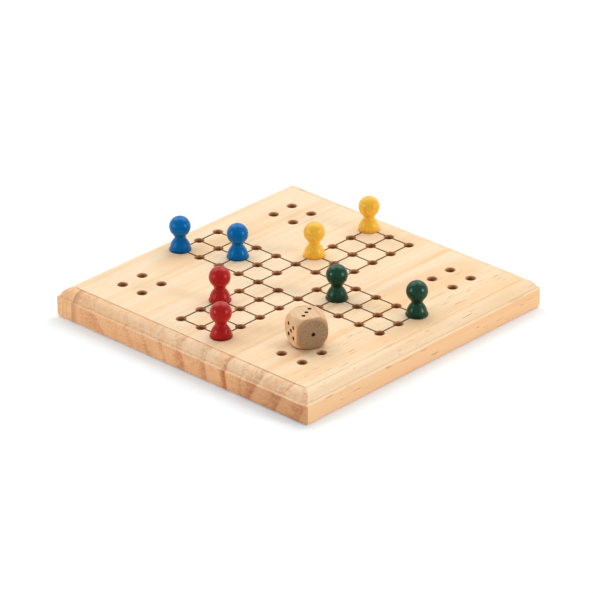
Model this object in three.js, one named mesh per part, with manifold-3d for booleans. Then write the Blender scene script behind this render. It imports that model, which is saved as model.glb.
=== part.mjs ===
// Wooden ludo and solitaire set: a moulded pine board, drilled on both faces, with turned pawns and a die.
// Millimetres, +Z up. The origin is under the middle of the board, on the surface that it lies on.
// The planks' grain runs along Y.
import * as THREE from 'three';
import { mergeVertices } from 'three/addons/utils/BufferGeometryUtils.js';
import Module from 'manifold-3d';

const wasm = await Module();
wasm.setup();

// Board
const BOARD_SIDE = 166;
const BOARD_THICKNESS = 15.5;
const EDGE_PLANK_WIDTH = 11;

// Moulding round the upper edge, from the top face down to the side
const TOP_STEP_HEIGHT = 0.45;
const OVOLO_WIDTH = 5.3;
const OVOLO_HEIGHT = 4.4;
const LEDGE_WIDTH = 1;
const LIP_BEVEL = 0.5;
const BOTTOM_ROUND = 2;
const CORNER_BEVEL = 0.6;

// Holes and engraved lines
const HOLE_PITCH = 13.2;
const HOLE_DIAMETER = 5;
const FIELD_SHIFT_X = -1.6;
const FIELD_SHIFT_Y = 0.4;
const WEB_THICKNESS = 2.5;
const LINE_WIDTH = 0.65;
const LINE_DEPTH = 0.3;
const SOLITAIRE_PITCH = 20;

// Both faces are drilled as deep as leaves the web between two holes back to back
const HOLE_DEPTH = (BOARD_THICKNESS - WEB_THICKNESS) / 2;

// Pawns
const PEG_CLEARANCE = 0.3;
const PEG_END_GAP = 0.5;
const PEG_BEVEL = 0.4;
const PAWN_HEIGHT = 17.8;
const HEAD_DIAMETER = 10.6;
const HEAD_BLEND_ANGLE = THREE.MathUtils.degToRad(50);
const NECK_DIAMETER = 5.5;
const NECK_HEIGHT = 6.4;
const BELL_DIAMETER = 10.1;
const FOOT_DIAMETER = 11;
const FOOT_HEIGHT = 0.9;
const FOOT_ROUND = 0.25;

// Die
const DIE_EDGE = 16;
const DIE_FLAT_DIAMETER = 15;
const PIP_DIAMETER = 2;
const PIP_DEPTH = 0.6;
const PIP_SPACING = 2.75;
const DIE_TURN = THREE.MathUtils.degToRad(-23.1);

// Tools run this far past the faces that they cut
const OVERRUN = 1;

// Counts of the two playing fields, in holes from the middle
const LUDO_REACH = 5;
const SOLITAIRE_REACH = 3;
const ARM_REACH = 1;

// Facets of the round forms
const HOLE_SIDES = 10;
const OVOLO_STEPS = 6;
const BOTTOM_STEPS = 3;
const PAWN_SIDES = 14;
const BELL_STEPS = 6;
const CHEEK_STEPS = 4;
const HEAD_STEPS = 7;
const PIP_SIDES = 8;
const BALL_SIDES = 24;
const BALL_RINGS = 16;

const BOARD_HALF = BOARD_SIDE / 2;
const GLUE_LINE_X = EDGE_PLANK_WIDTH - BOARD_HALF;

// Places on the ludo field, as shares of the pitch from the field's middle
const homeCentreShare = 4;
const homeStepShare = 0.5;
const diePlaceShares = [3.59, -3.3];
const PAWN_PLACES = [
  { colour: 'blue', number: 1, placeShares: [-5, -1] },
  { colour: 'blue', number: 2, placeShares: [-3, 0] },
  { colour: 'red', number: 1, placeShares: [-1, -3] },
  { colour: 'red', number: 2, placeShares: [1, -5] },
  { colour: 'yellow', number: 1, placeShares: [-1, 2] },
  { colour: 'yellow', number: 2, placeShares: [-1, 5] },
  { colour: 'green', number: 1, placeShares: [2, 0] },
  { colour: 'green', number: 2, placeShares: [5, 1] },
];

const FINISHES = {
  pine: { color: 0xf3d3a1, roughness: 0.6 },
  edgePine: { color: 0xf6d9ab, roughness: 0.6 },
  die: { color: 0xe3c19a, roughness: 0.6 },
  blue: { color: 0x0a5fae, roughness: 0.45 },
  red: { color: 0xb92a2c, roughness: 0.45 },
  yellow: { color: 0xf0bb35, roughness: 0.45 },
  green: { color: 0x0e4f3d, roughness: 0.45 },
};

function named(name, geometry, finish) {
  const material = new THREE.MeshStandardMaterial({ ...FINISHES[finish], metalness: 0 });
  const mesh = new THREE.Mesh(geometry, material);
  mesh.name = name;
  return mesh;
}

// A closed geometry as a solid that can be joined and cut
function solid(geometry) {
  const bare = geometry.clone();
  bare.deleteAttribute('normal');
  bare.deleteAttribute('uv');
  const merged = mergeVertices(bare);
  const mesh = new wasm.Mesh({
    numProp: 3,
    vertProperties: Float32Array.from(merged.attributes.position.array),
    triVerts: Uint32Array.from(merged.index.array),
  });
  return new wasm.Manifold(mesh);
}

function geometryOf(body) {
  const mesh = body.getMesh();
  const geometry = new THREE.BufferGeometry();
  geometry.setAttribute('position', new THREE.BufferAttribute(mesh.vertProperties, mesh.numProp));
  geometry.setIndex(new THREE.BufferAttribute(mesh.triVerts, 1));
  return geometry;
}

function box(low, high) {
  const size = high.map((value, axis) => value - low[axis]);
  const geometry = new THREE.BoxGeometry(size[0], size[1], size[2]);
  geometry.translate((low[0] + high[0]) / 2, (low[1] + high[1]) / 2, (low[2] + high[2]) / 2);
  return solid(geometry);
}

// An upright drill whose flats stand at the hole's radius, so that a round peg clears them
function drill(diameter, low, high, sides) {
  const radius = diameter / 2 / Math.cos(Math.PI / sides);
  const geometry = new THREE.CylinderGeometry(radius, radius, high - low, sides);
  geometry.rotateX(Math.PI / 2);
  geometry.translate(0, 0, (low + high) / 2);
  return solid(geometry);
}

// The board's section from its underside to the middle of its top, on the +X side
function mouldingOutline() {
  const outer = BOARD_HALF;
  const ledgeOuter = outer - LIP_BEVEL;
  const ledgeInner = ledgeOuter - LEDGE_WIDTH;
  const topEdge = ledgeInner - OVOLO_WIDTH;
  const ovoloTop = BOARD_THICKNESS - TOP_STEP_HEIGHT;
  const ledgeHeight = ovoloTop - OVOLO_HEIGHT;
  const foot = new THREE.EllipseCurve(
    outer - BOTTOM_ROUND, BOTTOM_ROUND, BOTTOM_ROUND, BOTTOM_ROUND, -Math.PI / 2, 0,
  );
  const points = foot.getPoints(BOTTOM_STEPS).map((point) => [point.x, point.y]);
  points[0][1] = 0;
  points.push([outer, ledgeHeight - LIP_BEVEL]);
  points.push([ledgeOuter, ledgeHeight]);
  const ovolo = new THREE.EllipseCurve(topEdge, ledgeHeight, OVOLO_WIDTH, OVOLO_HEIGHT, 0, Math.PI / 2);
  ovolo.getPoints(OVOLO_STEPS).forEach((point) => points.push([point.x, point.y]));
  points.push([topEdge, BOARD_THICKNESS]);
  return points;
}

// The section drawn out along Y, with both of its edges moulded
function mouldedBar() {
  const right = mouldingOutline();
  const left = right.map(([x, z]) => [-x, z]).reverse();
  const outline = new THREE.Shape([...right, ...left].map(([x, z]) => new THREE.Vector2(x, z)));
  const length = BOARD_SIDE + 2 * OVERRUN;
  const geometry = new THREE.ExtrudeGeometry(outline, { depth: length, bevelEnabled: false });
  geometry.translate(0, 0, -length / 2);
  geometry.rotateX(Math.PI / 2);
  return geometry;
}

// Two moulded bars crossed at right angles leave the board, with its moulding mitred at the corners
function boardBlank() {
  const alongY = solid(mouldedBar());
  const alongX = solid(mouldedBar().rotateZ(Math.PI / 2));
  const reach = BOARD_HALF * Math.SQRT2 - CORNER_BEVEL;
  const height = BOARD_THICKNESS + 2 * OVERRUN;
  const cornerCutter = new THREE.BoxGeometry(2 * reach, 2 * reach, height);
  cornerCutter.rotateZ(Math.PI / 4);
  cornerCutter.translate(0, 0, BOARD_THICKNESS / 2);
  return alongY.intersect(alongX).intersect(solid(cornerCutter));
}

// The ludo field was drilled a little off the board's middle, so every place on it is taken from here
function ludoPlace([x, y]) {
  return [FIELD_SHIFT_X + x * HOLE_PITCH, FIELD_SHIFT_Y + y * HOLE_PITCH];
}

function solitairePlace([x, y]) {
  return [x * SOLITAIRE_PITCH, y * SOLITAIRE_PITCH];
}

// The holes of a cross-shaped field, counted from its middle
function crossCounts(reach, keepMiddle) {
  const counts = [];
  for (let i = -reach; i <= reach; i += 1) {
    for (let j = -reach; j <= reach; j += 1) {
      const onCross = Math.min(Math.abs(i), Math.abs(j)) <= ARM_REACH;
      const isMiddle = i === 0 && j === 0;
      if (onCross && (keepMiddle || !isMiddle)) counts.push([i, j]);
    }
  }
  return counts;
}

// Four blocks of four holes, one in each corner, counted the same way
function homeCounts() {
  const counts = [];
  for (const sideX of [-1, 1]) {
    for (const sideY of [-1, 1]) {
      for (const stepX of [-1, 1]) {
        for (const stepY of [-1, 1]) {
          const x = sideX * homeCentreShare + stepX * homeStepShare;
          const y = sideY * homeCentreShare + stepY * homeStepShare;
          counts.push([x, y]);
        }
      }
    }
  }
  return counts;
}

function drilled(body, places, low, high) {
  const tool = drill(HOLE_DIAMETER, low, high, HOLE_SIDES);
  return places.reduce((left, [x, y]) => left.subtract(tool.translate([x, y, 0])), body);
}

// The straight runs of the engraved ludo track along one direction, as the row and the holes at its ends
function trackRuns() {
  const runs = [];
  for (let row = -LUDO_REACH; row <= LUDO_REACH; row += 1) {
    const away = Math.abs(row);
    if (away === ARM_REACH) runs.push([row, -LUDO_REACH, LUDO_REACH]);
    if (away > ARM_REACH) runs.push([row, -ARM_REACH, ARM_REACH]);
  }
  runs.push([0, -LUDO_REACH, -ARM_REACH]);
  runs.push([0, ARM_REACH, LUDO_REACH]);
  return runs;
}

function engraved(body) {
  const low = BOARD_THICKNESS - LINE_DEPTH;
  const high = BOARD_THICKNESS + OVERRUN;
  const half = LINE_WIDTH / 2;
  let left = body;
  for (const [row, from, to] of trackRuns()) {
    const [rowX, rowY] = ludoPlace([row, row]);
    const [fromX, fromY] = ludoPlace([from, from]);
    const [toX, toY] = ludoPlace([to, to]);
    left = left.subtract(box([rowX - half, fromY, low], [rowX + half, toY, high]));
    left = left.subtract(box([fromX, rowY - half, low], [toX, rowY + half, high]));
  }
  return left;
}

// The whole board, drilled and engraved after it was glued up
function boardBody() {
  const floor = BOARD_THICKNESS - HOLE_DEPTH;
  const ludoPlaces = [...crossCounts(LUDO_REACH, false), ...homeCounts()].map(ludoPlace);
  const solitairePlaces = crossCounts(SOLITAIRE_REACH, true).map(solitairePlace);
  let body = boardBlank();
  body = drilled(body, ludoPlaces, floor, BOARD_THICKNESS + OVERRUN);
  body = drilled(body, solitairePlaces, -OVERRUN, HOLE_DEPTH);
  return engraved(body);
}

// The planks meet at the glue line
function boardPlanks() {
  const body = boardBody();
  const far = BOARD_HALF + OVERRUN;
  const low = [-far, -far, -OVERRUN];
  const high = [far, far, BOARD_THICKNESS + OVERRUN];
  const main = body.intersect(box([GLUE_LINE_X, low[1], low[2]], high));
  const edge = body.intersect(box(low, [GLUE_LINE_X, high[1], high[2]]));
  return [
    named('board_main_plank', geometryOf(main), 'pine'),
    named('board_edge_plank', geometryOf(edge), 'edgePine'),
  ];
}

function curve(points, steps) {
  const [a, b, c, d] = points.map(([r, z]) => new THREE.Vector2(r, z));
  return new THREE.CubicBezierCurve(a, b, c, d).getPoints(steps);
}

// The turned outline, from the peg's end up to the top of the head. The foot stands at height zero.
function pawnOutline() {
  const pegRadius = HOLE_DIAMETER / 2 - PEG_CLEARANCE;
  const pegLength = HOLE_DEPTH - PEG_END_GAP;
  const footRadius = FOOT_DIAMETER / 2;
  const bellRadius = BELL_DIAMETER / 2;
  const neckRadius = NECK_DIAMETER / 2;
  const headRadius = HEAD_DIAMETER / 2;
  const headHeight = PAWN_HEIGHT - headRadius;
  const bellHeight = NECK_HEIGHT - FOOT_HEIGHT;
  const blendRadius = headRadius * Math.sin(HEAD_BLEND_ANGLE);
  const blendHeight = headHeight - headRadius * Math.cos(HEAD_BLEND_ANGLE);
  const blendLength = blendHeight - NECK_HEIGHT;
  const [shoulderShare, waistShare, throatShare, cheekShare] = [0.58, 0.1, 0.3, 0.4];

  const bell = curve([
    [bellRadius, FOOT_HEIGHT],
    [bellRadius, FOOT_HEIGHT + shoulderShare * bellHeight],
    [neckRadius, NECK_HEIGHT - waistShare * bellHeight],
    [neckRadius, NECK_HEIGHT],
  ], BELL_STEPS);
  const cheek = cheekShare * blendLength;
  const blend = curve([
    [neckRadius, NECK_HEIGHT],
    [neckRadius, NECK_HEIGHT + throatShare * blendLength],
    [blendRadius - cheek * Math.cos(HEAD_BLEND_ANGLE), blendHeight - cheek * Math.sin(HEAD_BLEND_ANGLE)],
    [blendRadius, blendHeight],
  ], CHEEK_STEPS);
  const headStart = HEAD_BLEND_ANGLE - Math.PI / 2;
  const head = new THREE.EllipseCurve(0, headHeight, headRadius, headRadius, headStart, Math.PI / 2);
  return [
    new THREE.Vector2(0, -pegLength),
    new THREE.Vector2(pegRadius - PEG_BEVEL, -pegLength),
    new THREE.Vector2(pegRadius, PEG_BEVEL - pegLength),
    new THREE.Vector2(pegRadius, 0),
    new THREE.Vector2(footRadius - FOOT_ROUND, 0),
    new THREE.Vector2(footRadius, FOOT_ROUND),
    new THREE.Vector2(footRadius, FOOT_HEIGHT - FOOT_ROUND),
    new THREE.Vector2(footRadius - FOOT_ROUND, FOOT_HEIGHT),
    ...bell,
    ...blend.slice(1),
    ...head.getPoints(HEAD_STEPS).slice(1, -1),
    new THREE.Vector2(0, PAWN_HEIGHT),
  ];
}

function pawns() {
  const geometry = new THREE.LatheGeometry(pawnOutline(), PAWN_SIDES);
  geometry.rotateX(Math.PI / 2);
  return PAWN_PLACES.map(({ colour, number, placeShares }) => {
    const mesh = named(`pawn_${colour}_${number}`, geometry, colour);
    mesh.position.set(...ludoPlace(placeShares), BOARD_THICKNESS);
    return mesh;
  });
}

// Each face of the die: its pips, and its own right, up and outward directions. Opposite faces add to seven.
const DIE_FACES = [
  { pips: 1, right: [0, 1, 0], up: [0, 0, 1], out: [1, 0, 0] },
  { pips: 6, right: [0, -1, 0], up: [0, 0, 1], out: [-1, 0, 0] },
  { pips: 5, right: [1, 0, 0], up: [0, 0, 1], out: [0, -1, 0] },
  { pips: 2, right: [-1, 0, 0], up: [0, 0, 1], out: [0, 1, 0] },
  { pips: 3, right: [0, -1, 0], up: [1, 0, 0], out: [0, 0, 1] },
  { pips: 4, right: [0, 1, 0], up: [1, 0, 0], out: [0, 0, -1] },
];

// Where a face's pips lie, in pip spacings from its middle
function pipPlaces(count) {
  const places = [];
  if (count % 2 === 1) places.push([0, 0]);
  if (count > 1) places.push([-1, -1], [1, 1]);
  if (count > 3) places.push([-1, 1], [1, -1]);
  if (count > 5) places.push([0, -1], [0, 1]);
  return places;
}

function pipTools() {
  const half = DIE_EDGE / 2;
  const tool = drill(PIP_DIAMETER, half - PIP_DEPTH, half + OVERRUN, PIP_SIDES);
  const tools = [];
  for (const { pips, right, up, out } of DIE_FACES) {
    const turn = new THREE.Matrix4().makeBasis(
      new THREE.Vector3(...right),
      new THREE.Vector3(...up),
      new THREE.Vector3(...out),
    );
    for (const [across, along] of pipPlaces(pips)) {
      const placed = tool.translate([across * PIP_SPACING, along * PIP_SPACING, 0]);
      tools.push(placed.transform(turn.toArray()));
    }
  }
  return tools;
}

// A cube whose edges and corners are rounded off by one ball
function die() {
  const half = DIE_EDGE / 2;
  const ballRadius = Math.hypot(half, DIE_FLAT_DIAMETER / 2);
  const cube = solid(new THREE.BoxGeometry(DIE_EDGE, DIE_EDGE, DIE_EDGE));
  const ball = solid(new THREE.SphereGeometry(ballRadius, BALL_SIDES, BALL_RINGS));
  let body = cube.intersect(ball);
  for (const tool of pipTools()) body = body.subtract(tool);
  const mesh = named('die', geometryOf(body), 'die');
  mesh.rotation.z = DIE_TURN;
  mesh.position.set(...ludoPlace(diePlaceShares), BOARD_THICKNESS + half);
  return mesh;
}

const set = new THREE.Group();
set.add(...boardPlanks(), ...pawns(), die());

export default set;
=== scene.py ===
import math

import bmesh
import bpy
import numpy as np
from mathutils import Matrix, Vector


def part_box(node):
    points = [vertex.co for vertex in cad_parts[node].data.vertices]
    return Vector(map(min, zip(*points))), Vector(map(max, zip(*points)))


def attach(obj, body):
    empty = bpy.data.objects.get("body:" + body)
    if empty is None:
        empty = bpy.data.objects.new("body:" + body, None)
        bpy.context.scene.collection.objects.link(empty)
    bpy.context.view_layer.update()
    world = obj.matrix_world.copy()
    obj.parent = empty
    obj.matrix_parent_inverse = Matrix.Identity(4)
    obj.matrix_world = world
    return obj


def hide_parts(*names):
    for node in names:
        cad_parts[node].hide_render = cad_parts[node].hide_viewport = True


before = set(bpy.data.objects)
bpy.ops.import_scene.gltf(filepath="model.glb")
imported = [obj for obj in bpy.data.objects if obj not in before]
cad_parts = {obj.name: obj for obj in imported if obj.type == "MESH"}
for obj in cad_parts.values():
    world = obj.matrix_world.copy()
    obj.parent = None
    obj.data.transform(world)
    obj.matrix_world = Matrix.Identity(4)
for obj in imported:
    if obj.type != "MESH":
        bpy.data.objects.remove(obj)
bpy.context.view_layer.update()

MM = 0.001


def millimetres(node):
    """The lowest and highest corner of a node, in millimetres."""
    low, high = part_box(node)
    return np.array(low) / MM, np.array(high) / MM


def standing_place(node):
    """The middle of a node's box, seen from above, in millimetres."""
    low, high = millimetres(node)
    return (low[:2] + high[:2]) / 2


# Sizes that the frame gives
BOARD_HALF = millimetres("board_main_plank")[1][0]
BOARD_THICKNESS = millimetres("board_main_plank")[1][2]
GLUE_LINE_X = millimetres("board_main_plank")[0][0]
PAWN_NODES = sorted(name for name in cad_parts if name.startswith("pawn_"))
PAWN_TOP = millimetres(PAWN_NODES[0])[1][2] - BOARD_THICKNESS
PEG_END = millimetres(PAWN_NODES[0])[0][2] - BOARD_THICKNESS
DIE_PLACE = standing_place("die")
DIE_EDGE = millimetres("die")[1][2] - BOARD_THICKNESS

# The holes that the two green pawns stand on, counted from the field's middle, give its pitch and place
FIRST_GREEN_HOLE = (2, 0)
SECOND_GREEN_HOLE = (5, 1)
first_green = standing_place("pawn_green_1")
second_green = standing_place("pawn_green_2")
HOLE_PITCH = (second_green[0] - first_green[0]) / (SECOND_GREEN_HOLE[0] - FIRST_GREEN_HOLE[0])
FIELD_MIDDLE = first_green - HOLE_PITCH * np.array(FIRST_GREEN_HOLE)

# Moulding round the upper edge, from the top face down to the side
TOP_STEP_HEIGHT = 0.45
OVOLO_WIDTH = 5.3
OVOLO_HEIGHT = 4.4
LEDGE_WIDTH = 1
LIP_BEVEL = 0.5
SIDE_CORNER_RADIUS = 1.6
MITRE_RADIUS = 0.8
BOTTOM_RADIUS = 2
LIP_RADIUS = 0.3
STEP_RADIUS = 0.3
TOP_HALF = BOARD_HALF - LIP_BEVEL - LEDGE_WIDTH - OVOLO_WIDTH
LEDGE_HEIGHT = BOARD_THICKNESS - TOP_STEP_HEIGHT - OVOLO_HEIGHT

# Holes and engraved lines
HOLE_RADIUS = 2.5
HOLE_RIM = 0.22
HOLE_FLOOR_RADIUS = 0.5
WEB_THICKNESS = 2.5
HOLE_DEPTH = (BOARD_THICKNESS - WEB_THICKNESS) / 2
LINE_WIDTH = 0.95
LINE_DEPTH = 0.3
SOLITAIRE_PITCH = 20
LUDO_REACH = 5
SOLITAIRE_REACH = 3
ARM_REACH = 1
HOME_CENTRE = 4
HOME_STEP = 0.5
OVERRUN = 1

# Pawns
PEG_RADIUS = 2.2
PEG_BEVEL = 0.4
HEAD_RADIUS = 5.3
HEAD_BLEND_ANGLE = math.radians(50)
NECK_RADIUS = 2.75
NECK_HEIGHT = 6.4
BELL_RADIUS = 5.05
FOOT_RADIUS = 5.5
FOOT_HEIGHT = 0.9
FOOT_ROUND = 0.25

# How far the handles of the pawn's cubic curves reach, as shares of the curve's height
BELL_SHOULDER_SHARE = 0.58
BELL_WAIST_SHARE = 0.1
CHEEK_THROAT_SHARE = 0.3
CHEEK_PULL_SHARE = 0.4

# Die
DIE_FLAT_RADIUS = 7.5
DIE_TURN = math.radians(-23.1)
DIE_ARRIS_POWER = 60
PIP_RADIUS = 1
PIP_DEPTH = 0.6
PIP_ROUND = 0.3
PIP_SPACING = 2.75

# How finely the round forms are cut up
CORNER_STEPS = 8
FILLET_STEPS = 4
OVOLO_STEPS = 14
HOLE_SIDES = 32
RIM_STEPS = 4
LINE_STEPS = 8
PAWN_SIDES = 96
BELL_STEPS = 24
CHEEK_STEPS = 16
HEAD_STEPS = 36
DIE_STEPS = 56
PIP_SIDES = 24
CREASE_ANGLE = math.radians(32)

# Points and planes that lie closer than this, in millimetres, count as one
SAME_PLACE = 1e-4
# Faces count as level with an axis when the two directions differ by less than this share
SAME_DIRECTION = 1e-6


# Meshes

def new_piece(name, points, faces, materials=()):
    """A mesh object with the given points, in millimetres, and faces."""
    mesh = bpy.data.meshes.new(name)
    mesh.from_pydata(points.tolist(), [], faces)
    for material in materials:
        mesh.materials.append(material)
    piece = bpy.data.objects.new(name, mesh)
    bpy.context.scene.collection.objects.link(piece)
    return piece


def ring_faces(rings, sides, closed_start=False, closed_end=False):
    """Quads between rings of points that follow each other, each ring going round once."""
    ring = np.arange(rings - 1)[:, None] * sides
    here = np.arange(sides)[None, :]
    after = (here + 1) % sides
    quads = np.stack([ring + here, ring + after, ring + sides + after, ring + sides + here], axis=-1)
    faces = quads.reshape(-1, 4).tolist()
    if closed_start:
        faces.append(list(range(sides))[::-1])
    if closed_end:
        faces.append(list(range((rings - 1) * sides, rings * sides)))
    return faces


def arc(centre, radius, start, end, steps):
    """Points on a circle: the centre plus the radius times the cosine and sine of evenly spaced angles."""
    angles = np.linspace(start, end, steps + 1)
    return np.array(centre) + radius * np.stack([np.cos(angles), np.sin(angles)], axis=1)


def bezier(a, b, c, d, steps):
    """Points on a cubic curve: the four corners weighted by the cubic Bernstein shares."""
    t = np.linspace(0, 1, steps + 1)[:, None]
    corners = [np.array(corner) for corner in (a, b, c, d)]
    shares = [(1 - t) ** 3, 3 * t * (1 - t) ** 2, 3 * t**2 * (1 - t), t**3]
    return sum(share * corner for share, corner in zip(shares, corners))


def filleted(before, corner, after, radius, steps=FILLET_STEPS):
    """A corner rounded off by an arc that touches both of its legs: the arc's centre lies on the line that
    halves the corner's angle, at the radius over the sine of half that angle."""
    to_before = np.array(before) - corner
    to_after = np.array(after) - corner
    to_before = to_before / np.linalg.norm(to_before)
    to_after = to_after / np.linalg.norm(to_after)
    half_angle = math.acos(np.clip(to_before @ to_after, -1, 1)) / 2
    reach = radius / math.tan(half_angle)
    bisector = (to_before + to_after) / np.linalg.norm(to_before + to_after)
    centre = corner + bisector * radius / math.sin(half_angle)
    from_centre = corner + to_before * reach - centre
    to_centre = corner + to_after * reach - centre
    start = math.atan2(from_centre[1], from_centre[0])
    turn = math.atan2(to_centre[1], to_centre[0]) - start
    turn = (turn + math.pi) % (2 * math.pi) - math.pi
    return arc(centre, radius, start, start + turn, steps)


def turned(name, profile, sides, middle=(0, 0), materials=()):
    """A closed solid of revolution: each radius and height of the profile goes once round the axis.
    The profile runs upwards, and its first and last points lie on the axis."""
    angles = np.linspace(0, 2 * math.pi, sides, endpoint=False)
    radius = profile[1:-1, 0][:, None]
    height = profile[1:-1, 1][:, None]
    x = middle[0] + radius * np.cos(angles)
    y = middle[1] + radius * np.sin(angles)
    z = np.broadcast_to(height, x.shape)
    rings = len(profile) - 2
    ends = [[middle[0], middle[1], profile[0, 1]], [middle[0], middle[1], profile[-1, 1]]]
    points = np.concatenate([np.stack([x, y, z], axis=-1).reshape(-1, 3), ends])
    here = np.arange(sides)
    after = (here + 1) % sides
    last = (rings - 1) * sides
    low_end = np.full(sides, rings * sides)
    faces = ring_faces(rings, sides)
    faces += np.stack([low_end, after, here], axis=1).tolist()
    faces += np.stack([low_end + 1, last + here, last + after], axis=1).tolist()
    return new_piece(name, points, faces, materials)


def joined(pieces):
    """One object that holds the meshes of several."""
    first = pieces[0]
    with bpy.context.temp_override(active_object=first, selected_editable_objects=pieces):
        bpy.ops.object.join()
    return first


def cut(piece, tool):
    """The piece without the tool's solids. The cut faces take the tool's material."""
    modifier = piece.modifiers.new("cut", "BOOLEAN")
    modifier.operation = "DIFFERENCE"
    modifier.solver = "EXACT"
    modifier.material_mode = "TRANSFER"
    modifier.object = tool
    bpy.context.view_layer.update()
    graph = bpy.context.evaluated_depsgraph_get()
    mesh = bpy.data.meshes.new_from_object(piece.evaluated_get(graph))
    piece.modifiers.clear()
    piece.data = mesh
    bpy.data.objects.remove(tool)


def split_off(piece, name, place, normal):
    """Parts a closed piece by a plane and closes both parts. The part that the normal points to is the new
    piece, which takes the name."""
    other = piece.copy()
    other.data = piece.data.copy()
    other.name = name
    bpy.context.scene.collection.objects.link(other)
    for part, side in ((piece, 1), (other, -1)):
        work = bmesh.new()
        work.from_mesh(part.data)
        geometry = work.verts[:] + work.edges[:] + work.faces[:]
        direction = Vector(normal) * side
        bmesh.ops.bisect_plane(work, geom=geometry, plane_co=place, plane_no=direction, clear_outer=True)
        bmesh.ops.holes_fill(work, edges=[edge for edge in work.edges if edge.is_boundary])
        bmesh.ops.recalc_face_normals(work, faces=work.faces[:])
        work.to_mesh(part.data)
        work.free()
    return other


def finished(piece, body, nodes, flat_planes=()):
    """Puts a piece's mesh into metres, shades it, and says what it stands for. Faces that lie in one of the
    flat planes, each an axis and a distance in millimetres, are shaded flat, and so stay plain to their
    rims."""
    mesh = piece.data
    mesh.name = piece.name
    normals = np.zeros(len(mesh.polygons) * 3)
    middles = np.zeros(len(mesh.polygons) * 3)
    mesh.polygons.foreach_get("normal", normals)
    mesh.polygons.foreach_get("center", middles)
    normals = normals.reshape(-1, 3)
    middles = middles.reshape(-1, 3)
    smooth = np.ones(len(mesh.polygons), bool)
    for axis, distance in flat_planes:
        lies_in = np.abs(middles[:, axis] - distance) < SAME_PLACE
        faces_along = np.abs(normals[:, axis]) > 1 - SAME_DIRECTION
        smooth &= ~(lies_in & faces_along)
    mesh.polygons.foreach_set("use_smooth", smooth)
    mesh.set_sharp_from_angle(angle=CREASE_ANGLE)
    mesh.transform(Matrix.Scale(MM, 4))
    mesh.update()
    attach(piece, body)
    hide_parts(*nodes)


# Shader nodes

# What the group of each finish puts out
FINISH_OUTPUTS = {"Color": "Color", "Roughness": "Float", "Height": "Float"}
# How high the bumps of fine wood stand, in millimetres
FINE_BUMP = 0.05


def paint_value(red, green, blue):
    """A colour written as it looks on a screen, from 0 to 255, as the light that a shader works with."""
    screen = np.array([red, green, blue]) / 255
    light = np.where(screen <= 0.04045, screen / 12.92, ((screen + 0.055) / 1.055) ** 2.4)
    return (*light.tolist(), 1)


def set_inputs(tree, made, inputs):
    """Gives each input of a node its value, or links it to another node's output."""
    for socket, value in inputs.items():
        if isinstance(value, bpy.types.NodeSocket):
            tree.links.new(value, made.inputs[socket])
        else:
            made.inputs[socket].default_value = value


def node(tree, kind, inputs=None, **settings):
    """Adds a node. Each input is a value, or another node's output that is linked to it."""
    made = tree.nodes.new(kind)
    for key, value in settings.items():
        setattr(made, key, value)
    set_inputs(tree, made, inputs or {})
    return made


def calc(tree, operation, *values):
    """The output of a Math node."""
    return node(tree, "ShaderNodeMath", dict(enumerate(values)), operation=operation).outputs[0]


def total(tree, first, *others):
    """The sum of several values."""
    for other in others:
        first = calc(tree, "ADD", first, other)
    return first


def product(tree, first, *others):
    """Several values multiplied."""
    for other in others:
        first = calc(tree, "MULTIPLY", first, other)
    return first


def stretched(tree, vector, factors):
    """A vector with each of its parts scaled by its own factor."""
    return node(tree, "ShaderNodeVectorMath", {0: vector, 1: factors}, operation="MULTIPLY").outputs[0]


def noise(tree, vector, scale=1, detail=2, roughness=0.5):
    """A soft random pattern, about 0.5 on average."""
    inputs = {"Vector": vector, "Scale": scale, "Detail": detail, "Roughness": roughness}
    return node(tree, "ShaderNodeTexNoise", inputs).outputs["Fac"]


def between(tree, value, low, high, to_low=0, to_high=1):
    """A value that goes smoothly from one number to another while the input crosses from low to high."""
    inputs = {"Value": value, "From Min": low, "From Max": high, "To Min": to_low, "To Max": to_high}
    return node(tree, "ShaderNodeMapRange", inputs, interpolation_type="SMOOTHSTEP").outputs["Result"]


def over(tree, distance, span, to_low=0, to_high=1):
    """A value that goes smoothly from one number to another over a span of millimetres."""
    low, high = span
    return between(tree, distance, low * MM, high * MM, to_low, to_high)


def blended(tree, share, first, second, mode="MIX"):
    """Two colours mixed by a share."""
    inputs = {0: share, 6: first, 7: second}
    made = node(tree, "ShaderNodeMix", inputs, data_type="RGBA", blend_type=mode, clamp_factor=True)
    return made.outputs[2]


def separate(tree, vector):
    """The three parts of a vector."""
    return node(tree, "ShaderNodeSeparateXYZ", {0: vector}).outputs


def new_group(name, inputs, outputs):
    """An empty node group with its sockets, and its input and output nodes."""
    tree = bpy.data.node_groups.new(name, "ShaderNodeTree")
    for label, kind in inputs.items():
        tree.interface.new_socket(name=label, in_out="INPUT", socket_type="NodeSocket" + kind)
    for label, kind in outputs.items():
        tree.interface.new_socket(name=label, in_out="OUTPUT", socket_type="NodeSocket" + kind)
    return tree, node(tree, "NodeGroupInput").outputs, node(tree, "NodeGroupOutput").inputs


def put_out(tree, result, colour, roughness, height):
    """Links a finish to the outputs of its group."""
    tree.links.new(colour, result["Color"])
    tree.links.new(roughness, result["Roughness"])
    tree.links.new(height, result["Height"])


def placed_group(tree, group, inputs):
    """The outputs of a node group that is placed in a material."""
    made = tree.nodes.new("ShaderNodeGroup")
    made.node_tree = group
    set_inputs(tree, made, inputs)
    return made.outputs


def new_material(name, viewport_colour):
    """A material with an empty node tree, its shader and the place that its patterns read."""
    material = bpy.data.materials.new(name)
    material.use_nodes = True
    material.diffuse_color = viewport_colour
    tree = material.node_tree
    tree.nodes.clear()
    shader = tree.nodes.new("ShaderNodeBsdfPrincipled")
    output = tree.nodes.new("ShaderNodeOutputMaterial")
    tree.links.new(shader.outputs[0], output.inputs[0])
    place = tree.nodes.new("ShaderNodeTexCoord").outputs["Object"]
    return material, tree, shader, place


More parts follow.
